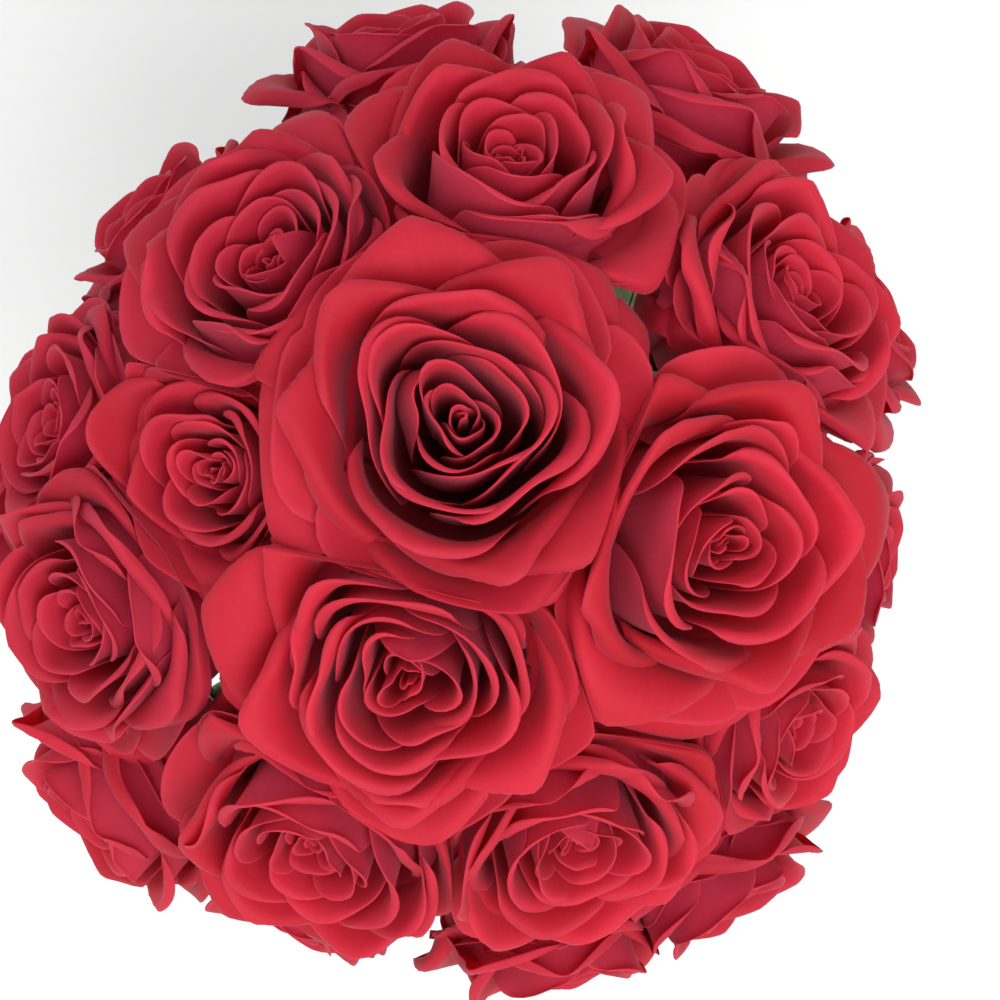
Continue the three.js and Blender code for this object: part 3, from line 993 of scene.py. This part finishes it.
def make_stem_tree():
    tree = bpy.data.node_groups.new("stem with prickles", "GeometryNodeTree")
    face = tree.interface
    face.new_socket("Path", in_out="INPUT", socket_type="NodeSocketGeometry")
    for name in ("Radius", "Prickle Spacing", "Prickle Length", "Prickles From"):
        face.new_socket(name, in_out="INPUT", socket_type="NodeSocketFloat")
    face.new_socket("Seed", in_out="INPUT", socket_type="NodeSocketInt")
    face.new_socket("Bark", in_out="INPUT", socket_type="NodeSocketMaterial")
    face.new_socket("Stem", in_out="OUTPUT", socket_type="NodeSocketGeometry")
    given = add(tree, "NodeGroupInput").outputs

    circle = add(
        tree,
        "GeometryNodeCurvePrimitiveCircle",
        {"Resolution": STEM_SIDES, "Radius": given["Radius"]},
    )
    sweep = add(
        tree,
        "GeometryNodeCurveToMesh",
        {"Curve": given["Path"], "Profile Curve": circle.outputs[0], "Fill Caps": True},
    )

    spots = add(
        tree,
        "GeometryNodeCurveToPoints",
        {"Curve": given["Path"], "Length": given["Prickle Spacing"]},
        mode="LENGTH",
    )
    cone = add(
        tree,
        "GeometryNodeMeshCone",
        {"Vertices": PRICKLE_SIDES, "Radius Bottom": 1.0 * MM, "Depth": given["Prickle Length"]},
    )
    hooked = add(
        tree,
        "GeometryNodeTransform",
        {"Geometry": cone.outputs[0], "Rotation": (0, PRICKLE_HOOK, 0), "Scale": (2.2, 1, 1)},
    )
    seat = add(tree, "ShaderNodeCombineXYZ", {0: maths(tree, "MULTIPLY", given["Radius"], 0.86)})
    seated = add(
        tree,
        "GeometryNodeTransform",
        {"Geometry": hooked.outputs[0], "Translation": seat.outputs[0]},
    )
    angle = add(
        tree,
        "FunctionNodeRandomValue",
        {"Max": 2 * math.pi, "Seed": given["Seed"]},
        data_type="FLOAT",
    )
    about = add(
        tree,
        "FunctionNodeAxisAngleToRotation",
        {"Axis": (0, 0, 1), "Angle": angle.outputs[1]},
    )
    turned_spot = add(
        tree,
        "FunctionNodeRotateRotation",
        {"Rotation": spots.outputs["Rotation"], "Rotate By": about.outputs[0]},
        rotation_space="LOCAL",
    )
    size = add(
        tree,
        "FunctionNodeRandomValue",
        {"Min": 0.55, "Max": 1.1, "Seed": given["Seed"]},
        data_type="FLOAT",
    )
    position = add(tree, "GeometryNodeInputPosition").outputs[0]
    height = add(tree, "ShaderNodeSeparateXYZ", {0: position})
    above = add(
        tree,
        "FunctionNodeCompare",
        {"A": height.outputs["Z"], "B": given["Prickles From"]},
        data_type="FLOAT",
        operation="GREATER_THAN",
    )
    prickles = add(
        tree,
        "GeometryNodeInstanceOnPoints",
        {
            "Points": spots.outputs["Points"],
            "Selection": above.outputs[0],
            "Instance": seated.outputs[0],
            "Rotation": turned_spot.outputs[0],
            "Scale": size.outputs[1],
        },
    )
    together = add(tree, "GeometryNodeJoinGeometry")
    tree.links.new(prickles.outputs[0], together.inputs[0])
    tree.links.new(sweep.outputs[0], together.inputs[0])
    real = add(tree, "GeometryNodeRealizeInstances", {"Geometry": together.outputs[0]})
    smooth = add(tree, "GeometryNodeSetShadeSmooth", {"Geometry": real.outputs[0]})
    barked = add(
        tree,
        "GeometryNodeSetMaterial",
        {"Geometry": smooth.outputs[0], "Material": given["Bark"]},
    )
    add(tree, "NodeGroupOutput", {"Stem": barked.outputs[0]})
    return tree


stem_tree = make_stem_tree()
stem_inputs = {
    item.name: item.identifier
    for item in stem_tree.interface.items_tree
    if item.in_out == "INPUT"
}
print("stem tree inputs:", list(stem_inputs))

# %% [markdown]
# ## From curve to mesh
#
# A curve object carries the path and its taper, the modifier grows the stem on it, and
# new_from_object turns the result into a plain mesh. The modifier's inputs are set by their
# identifiers before the object is first evaluated.

# %% Grow one stem
FOOT_TAPER = 1.08
NECK_TAPER = 0.86
PRICKLE_SPACING = 13 * MM
PRICKLE_LENGTH = 4.2 * MM
PRICKLES_FROM = 0.9 * VASE_HEIGHT


def grow_stem(rose):
    curve = bpy.data.curves.new(f"path_{rose.name}", "CURVE")
    curve.dimensions = "3D"
    spline = curve.splines.new("POLY")
    spline.points.add(len(rose.path) - 1)
    tapers = np.linspace(FOOT_TAPER, NECK_TAPER, len(rose.path))
    spline.points.foreach_set("co", np.column_stack([rose.path, np.ones(len(rose.path))]).ravel())
    spline.points.foreach_set("radius", tapers)
    carrier = bpy.data.objects.new(f"path_{rose.name}", curve)
    bpy.context.collection.objects.link(carrier)
    modifier = carrier.modifiers.new("grow", "NODES")
    modifier.node_group = stem_tree
    values = {
        "Radius": STEM_RADIUS,
        "Prickle Spacing": PRICKLE_SPACING,
        "Prickle Length": PRICKLE_LENGTH,
        "Prickles From": PRICKLES_FROM,
        "Seed": rose.seed,
        "Bark": green_bark,
    }
    for name, value in values.items():
        modifier[stem_inputs[name]] = value
    graph = bpy.context.evaluated_depsgraph_get()
    mesh = bpy.data.meshes.new_from_object(carrier.evaluated_get(graph))
    bpy.data.objects.remove(carrier)
    bpy.data.curves.remove(curve)
    return mesh


print("prickles:", PRICKLE_LENGTH / MM, "mm long, from", round(PRICKLES_FROM, 3), "m up")

# %% [markdown]
# ## Hip and sepals
#
# Under the petals the stem swells into the hip, and five green sepals hang from its rim. On an
# open bloom they fold back. A sepal is narrow, has a long drawn-out tip and is a little
# channelled, so its grid is bent along and across.

# %% The hip and five sepals
HIP_RADIUS = 5 * MM
SEPAL_COUNT = 5
SEPAL_LENGTH = 26 * MM
SEPAL_HALF_WIDTH = 3.4 * MM
SEPAL_THICKNESS = 0.6 * MM
SEPAL_ROWS = 17
SEPAL_COLUMNS = 7


def make_sepal(rose, k):
    chance = np.random.default_rng(1000 * rose.seed + k)
    u, s = np.meshgrid(np.linspace(-1, 1, SEPAL_COLUMNS), np.linspace(0, 1, SEPAL_ROWS))
    half = SEPAL_HALF_WIDTH * (np.sin(math.pi * np.minimum(s + 0.28, 1)) ** 0.8 * 0.9 + 0.1)
    fall = chance.uniform(0.9, 1.7)
    out = 0.8 * HIP_RADIUS + SEPAL_LENGTH * np.sin(fall * s) / fall
    down = 0.86 * HIP_HEIGHT - SEPAL_LENGTH * (1 - np.cos(fall * s)) / fall
    side = half * u
    down = down + 0.22 * np.abs(side)
    angle = 2 * math.pi * k / SEPAL_COUNT + chance.uniform(-0.15, 0.15)
    thickness = SEPAL_THICKNESS * (1 - 0.5 * np.abs(u)) * (1 - 0.6 * s)
    return Sheet(np.stack([*turn_flat(out, side, angle), down], axis=-1), thickness)


def make_stem(rose):
    shape = bmesh.new()
    grown = grow_stem(rose)
    shape.from_mesh(grown)
    bpy.data.meshes.remove(grown)
    hip_profile = [(0, -3 * MM), (NECK_TAPER * STEM_RADIUS, -3 * MM)]
    hip_profile += [
        (HIP_RADIUS * (0.6 + 0.4 * math.sin(1.9 * t)), (t - 0.06) * HIP_HEIGHT)
        for t in np.linspace(0.1, 1.0, 9)
    ]
    hip_profile += [(0, 0.94 * HIP_HEIGHT)]
    points, faces = turned(hip_profile, 18)
    sepals = [make_sepal(rose, k) for k in range(SEPAL_COUNT)]
    parts = [(points, faces)] + [(sepal.points, sepal.faces) for sepal in sepals]
    for points, faces in parts:
        add_solid(shape, keep_in_cell(rose.to_world(points), rose), faces)
    mesh = bpy.data.meshes.new(f"cut_stem_{rose.name}")
    shape.to_mesh(mesh)
    shape.free()
    mesh.materials.clear()
    mesh.materials.append(green_bark)
    return add_piece(f"cut_stem_{rose.name}", mesh, "stem", f"stem_{rose.name}")


stems = [make_stem(rose) for rose in roses]
print("stems:", len(stems), "with", sum(len(s.data.polygons) for s in stems), "faces")

# %% [markdown]
# ## Leaves
#
# A rose leaf is a stalk with separate toothed leaflets. Its upper face is dark and leathery and
# the under face is paler. A midrib and paired side veins are pressed into it. Here the veins are
# in the mesh, as shallow grooves, and again in the colour.


# %% The leaf material
def make_leaf_material():
    material, tree = new_material("rose_leaf")
    under = add(tree, "ShaderNodeAttribute", attribute_name="under").outputs["Fac"]
    vein = add(tree, "ShaderNodeAttribute", attribute_name="vein").outputs["Fac"]
    place = add(tree, "ShaderNodeTexCoord").outputs["Object"]
    cloud, streak = streaks(tree, place, 1400.0, 1400.0, 60.0)
    top = mix_colour(tree, ramp(tree, cloud, 0.35, 0.65), rgb(30, 58, 24), rgb(56, 88, 40))
    below = mix_colour(tree, ramp(tree, cloud, 0.35, 0.65), rgb(92, 118, 78), rgb(112, 136, 94))
    face = mix_colour(tree, under, top, below)
    colour = mix_colour(tree, maths(tree, "MULTIPLY", vein, 0.6), face, rgb(124, 146, 86))
    bump = add(tree, "ShaderNodeBump", {"Height": streak, "Strength": 0.35, "Distance": 0.2 * MM})
    surface = add(
        tree,
        "ShaderNodeBsdfPrincipled",
        {
            "Base Color": colour,
            "Roughness": maths(tree, "ADD", maths(tree, "MULTIPLY", under, 0.25), 0.36),
            "Normal": bump.outputs[0],
        },
    )
    add(tree, "ShaderNodeOutputMaterial", {"Surface": surface.outputs[0]})
    return material


rose_leaf = make_leaf_material()
print("material:", rose_leaf.name)

# %% [markdown]
# ## Leaflets
#
# The outline is an oval with a drawn-out tip. Teeth are a saw wave that only moves points near
# the edge, towards the tip. The blade is folded a little along its midrib and waves at the edge.

# %% One leaflet, and three on a stalk
LEAF_DROOP = 0.0062 / MM  # fall for each square metre of reach
PETIOLE_LENGTH = 16 * MM
PETIOLE_RADIUS = 0.9 * MM
LEAFLET_LENGTH = 36 * MM
LEAFLET_HALF_WIDTH = 11 * MM
LEAFLET_SPREAD = 62
LEAF_THICKNESS = 0.5 * MM
TEETH = 13
STEPS_PER_TOOTH = 4
LEAFLET_COLUMNS = 17
VEIN_PAIRS = 7


def make_leaflet(scale, turn, start, seed):
    chance = np.random.default_rng(seed)
    rows = TEETH * STEPS_PER_TOOTH + 1
    u, s = np.meshgrid(np.linspace(-1, 1, LEAFLET_COLUMNS), np.linspace(0, 1, rows))
    length, half_width = LEAFLET_LENGTH * scale, LEAFLET_HALF_WIDTH * scale
    oval = np.sin(math.pi * np.clip(s, 0.002, 0.995) ** 0.8) ** 0.85
    half = half_width * oval + 0.3 * MM * (1 - s)
    saw = (s * TEETH) % 1
    edge = np.abs(u) ** 8
    y = u * half * (1 + 0.1 * saw * edge * (s < 0.96))
    x = start + s * length + 0.5 * MM * saw * edge
    rib = np.exp(-((u * half / (0.5 * MM)) ** 2))
    phase = (s + 0.28 * np.abs(u) * (1 - s)) * VEIN_PAIRS
    side_vein = np.exp(-(((phase % 1) - 0.5) ** 2) / 0.012) * (1 - edge) * (s < 0.93)
    vein = np.maximum(rib, 0.7 * side_vein)
    z = 0.28 * np.abs(y) + 0.8 * MM * np.sin(5 * s + chance.uniform(0, 6)) * u**2
    z = z - 0.22 * MM * vein + 0.25 * MM * (1 - side_vein) * np.sin(math.pi * np.abs(u))
    grid = np.stack([*turn_flat(x, y, math.radians(turn)), z], axis=-1)
    sheet = Sheet(grid, LEAF_THICKNESS * (1 - 0.4 * np.abs(u)))
    sheet.vein = np.tile(vein.ravel(), 2)
    sheet.under = np.repeat([0.0, 1.0], sheet.count)
    return sheet


def stem_at(rose, height):
    """Where the stem's middle passes a height."""
    return np.array([np.interp(height, rose.path[:, 2], rose.path[:, k]) for k in range(3)])


def make_leaf(rose):
    plan = [(1.0, 0, 1.5 * MM)]
    plan += [(0.8, turn, 3 * MM) for turn in (LEAFLET_SPREAD, -LEAFLET_SPREAD)]
    sheets = [make_leaflet(*row, 10 * rose.seed + k) for k, row in enumerate(plan)]
    for sheet in sheets:
        sheet.points[:, 0] += PETIOLE_LENGTH - 2 * MM
    stalk_profile = [
        (0, 0),
        (1.5 * PETIOLE_RADIUS, 0.3 * MM),
        (PETIOLE_RADIUS, 3 * MM),
        (PETIOLE_RADIUS, PETIOLE_LENGTH),
        (0.5 * PETIOLE_RADIUS, PETIOLE_LENGTH + 4 * MM),
        (0, PETIOLE_LENGTH + 5 * MM),
    ]
    stalk, stalk_faces = turned(stalk_profile, 10)
    stalk = stalk[:, [2, 0, 1]]  # lay the axis along +X; the order of faces still turns outward
    joint = stem_at(rose, VASE_HEIGHT + rose.leaf_rise * MM)
    angle = math.atan2(joint[1], joint[0])
    away = STEM_RADIUS * 0.96

    def seated(points):
        x, y, z = points.T
        return np.column_stack([*turn_flat(x + away, y, angle), z - LEAF_DROOP * x**2]) + joint

    for sheet in sheets:
        sheet.points = seated(sheet.points)
    blades = f"leaf_{rose.name}_blades"
    mesh = mesh_of_sheets(blades, sheets, rose_leaf, ("vein", "under"), "leaflet")
    shape = bmesh.new()
    shape.from_mesh(mesh)
    vein_layer = shape.verts.layers.float["vein"]
    for corner in add_solid(shape, seated(stalk), stalk_faces):
        corner[vein_layer] = 1.0
    shape.to_mesh(mesh)
    shape.free()
    return add_piece(f"rose_leaf_{rose.name}", mesh, "leaf", f"leaf_{rose.name}")


leaves = [make_leaf(rose) for rose in roses if rose.leaf_rise]
print("leaves:", len(leaves), "with", sum(len(leaf.data.polygons) for leaf in leaves), "faces")

# %% [markdown]
# ## The glass vase
#
# A blown cylinder with a thick clear base, a rounded foot and a fire-polished rim. It is turned
# finely, because a facet shows at once in glass. Light from the lamps passes straight through to
# the stems, as it does through a real thin wall, so shadow rays see a clear surface.

# %% The vase and its glass
VASE_FOOT_FILLET = 3 * MM
VASE_INNER_FILLET = 5 * MM
VASE_SIDES = 144
SHADOW_CLEARNESS = 0.9


def make_glass_material():
    material, tree = new_material("clear_glass")
    glass = add(
        tree,
        "ShaderNodeBsdfPrincipled",
        {
            "Base Color": rgb(244, 251, 248),
            "Roughness": 0.0,
            "IOR": 1.5,
            "Transmission Weight": 1.0,
        },
    )
    clear = add(tree, "ShaderNodeBsdfTransparent", {"Color": rgb(244, 251, 248)})
    shadow = add(tree, "ShaderNodeLightPath").outputs["Is Shadow Ray"]
    lets_through = maths(tree, "MULTIPLY", shadow, SHADOW_CLEARNESS)
    both = add(
        tree,
        "ShaderNodeMixShader",
        {0: lets_through, 1: glass.outputs[0], 2: clear.outputs[0]},
    )
    add(tree, "ShaderNodeOutputMaterial", {"Surface": both.outputs[0]})
    return material


def make_vase():
    inside = VASE_RADIUS - VASE_WALL
    lip = VASE_WALL / 2
    inner_floor = VASE_FLOOR + VASE_INNER_FILLET
    profile = [(0, 0)]
    profile += arc(VASE_RADIUS - VASE_FOOT_FILLET, VASE_FOOT_FILLET, VASE_FOOT_FILLET, -90, 0, 8)
    profile += arc(VASE_RADIUS - lip, VASE_HEIGHT - lip, lip, 0, 180, 10)
    profile += arc(inside - VASE_INNER_FILLET, inner_floor, VASE_INNER_FILLET, 0, -90, 8)
    profile += [(0, VASE_FLOOR)]
    points, faces = turned(profile, VASE_SIDES)
    mesh = bpy.data.meshes.new("glass_vase")
    mesh.from_pydata(points.tolist(), [], faces)
    mesh.shade_smooth()
    mesh.set_sharp_from_angle(angle=math.radians(50))
    mesh.materials.append(make_glass_material())
    return add_piece("glass_vase", mesh, "glass", "vase")


glass_vase = make_vase()
print("vase:", len(glass_vase.data.polygons), "faces")

# %% [markdown]
# ## Floor, light and finish
#
# A plain white table, a large window in front on the right, a weaker one behind on the left, and
# an even white sky. Strong reds should stay strong, so the plain view transform is used.

# %% Floor and lights
scene = bpy.context.scene
scene.view_settings.view_transform = "Standard"
scene.view_settings.gamma = 1.27  # lifts the deep reds, as a bright room does

FLOOR_REACH = 30.0
floor_mesh = bpy.data.meshes.new("floor")
corners = [(x * FLOOR_REACH, y * FLOOR_REACH, 0) for x, y in ((-1, -1), (1, -1), (1, 1), (-1, 1))]
floor_mesh.from_pydata(corners, [], [(0, 1, 2, 3)])
floor = bpy.data.objects.new("floor", floor_mesh)
floor_material, tree = new_material("pale_table")
paint = add(tree, "ShaderNodeBsdfPrincipled", {"Base Color": rgb(240, 240, 240), "Roughness": 0.6})
add(tree, "ShaderNodeOutputMaterial", {"Surface": paint.outputs[0]})
floor_mesh.materials.append(floor_material)
bpy.context.collection.objects.link(floor)

SKY_STRENGTH = 0.68
world = bpy.data.worlds.new("sky")
scene.world = world
world.use_nodes = True
world.node_tree.nodes["Background"].inputs["Color"].default_value = (1, 1, 1, 1)
world.node_tree.nodes["Background"].inputs["Strength"].default_value = SKY_STRENGTH


def add_window(name, place, size, power):
    data = bpy.data.lights.new(name, "AREA")
    data.shape = "SQUARE"
    data.size = size
    data.energy = power
    lamp = bpy.data.objects.new(name, data)
    lamp.location = place
    aim = Vector(FOCUS) - Vector(place)
    lamp.rotation_euler = aim.to_track_quat("-Z", "Y").to_euler()
    bpy.context.collection.objects.link(lamp)


add_window("window", (0.3, -0.6, 1.5), 1.0, 19)
add_window("fill", (-1.0, 0.6, 1.4), 1.4, 7)
